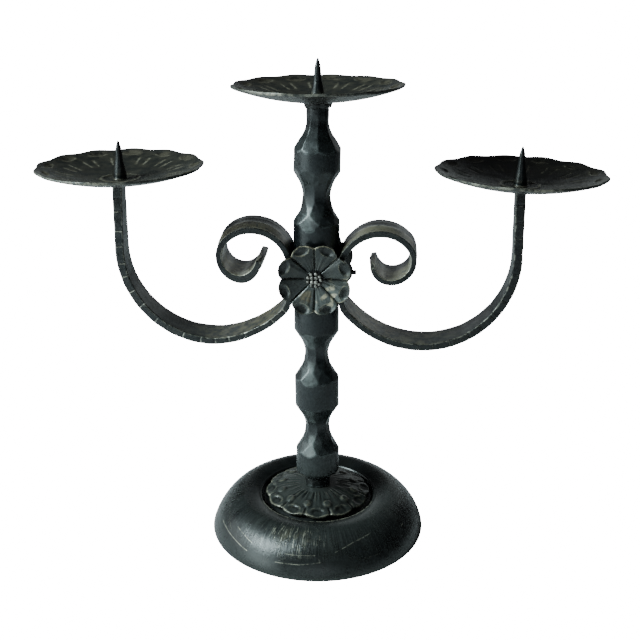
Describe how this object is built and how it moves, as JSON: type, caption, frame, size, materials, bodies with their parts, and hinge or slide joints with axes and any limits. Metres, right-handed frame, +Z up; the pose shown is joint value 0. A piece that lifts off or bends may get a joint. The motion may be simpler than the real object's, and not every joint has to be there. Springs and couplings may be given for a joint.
{
  "type": "three-arm candle holder",
  "caption": "Free-standing iron candle holder with spiked pans on a faceted stem and on scrolled side arms, over a domed round base.",
  "frame": {"origin": "middle of the base on the floor", "axes": "+X to the right arm, +Y to the back, +Z up along the stem"},
  "size_m": [0.359, 0.1482, 0.3216],
  "materials": {
    "base_iron": "spun sheet with a dark grey-green satin patina and tan rubbed scratches",
    "rosette_iron": "pressed sheet, dark patina with worn lighter edges",
    "forged_iron": "hammered bar with a blue-grey satin patina",
    "arm_iron": "hammered flat bar, dark satin patina, tan inside the scrolls",
    "pan_iron": "hammered sheet, grey-brown patina with lighter strokes and a worn rim",
    "flower_iron": "pressed sheet, dark patina with brass-coloured worn edges",
    "rivet_iron": "rubbed bright berries on a dark ground",
    "spike_iron": "dark satin patina",
    "weld_iron": "rough weld with a brown-black patina",
    "fastener_steel": "blackened steel"
  },
  "bodies": {
    "root": {"base_dish": "base_iron", "base_rosette": "rosette_iron", "base_bolt": "fastener_steel", "base_washer": "fastener_steel", "stem": "forged_iron", "left_arm": "arm_iron", "right_arm": "arm_iron", "tie_screw": "fastener_steel", "tie_nut": "fastener_steel", "front_flower": "flower_iron", "front_flower_rivet": "rivet_iron", "rear_flower": "flower_iron", "rear_flower_rivet": "rivet_iron", "top_pan": "pan_iron", "left_pan": "pan_iron", "right_pan": "pan_iron", "top_spike": "spike_iron", "left_spike": "spike_iron", "right_spike": "spike_iron", "top_weld": "weld_iron", "left_weld": "weld_iron", "right_weld": "weld_iron"}
  },
  "joints": []
}
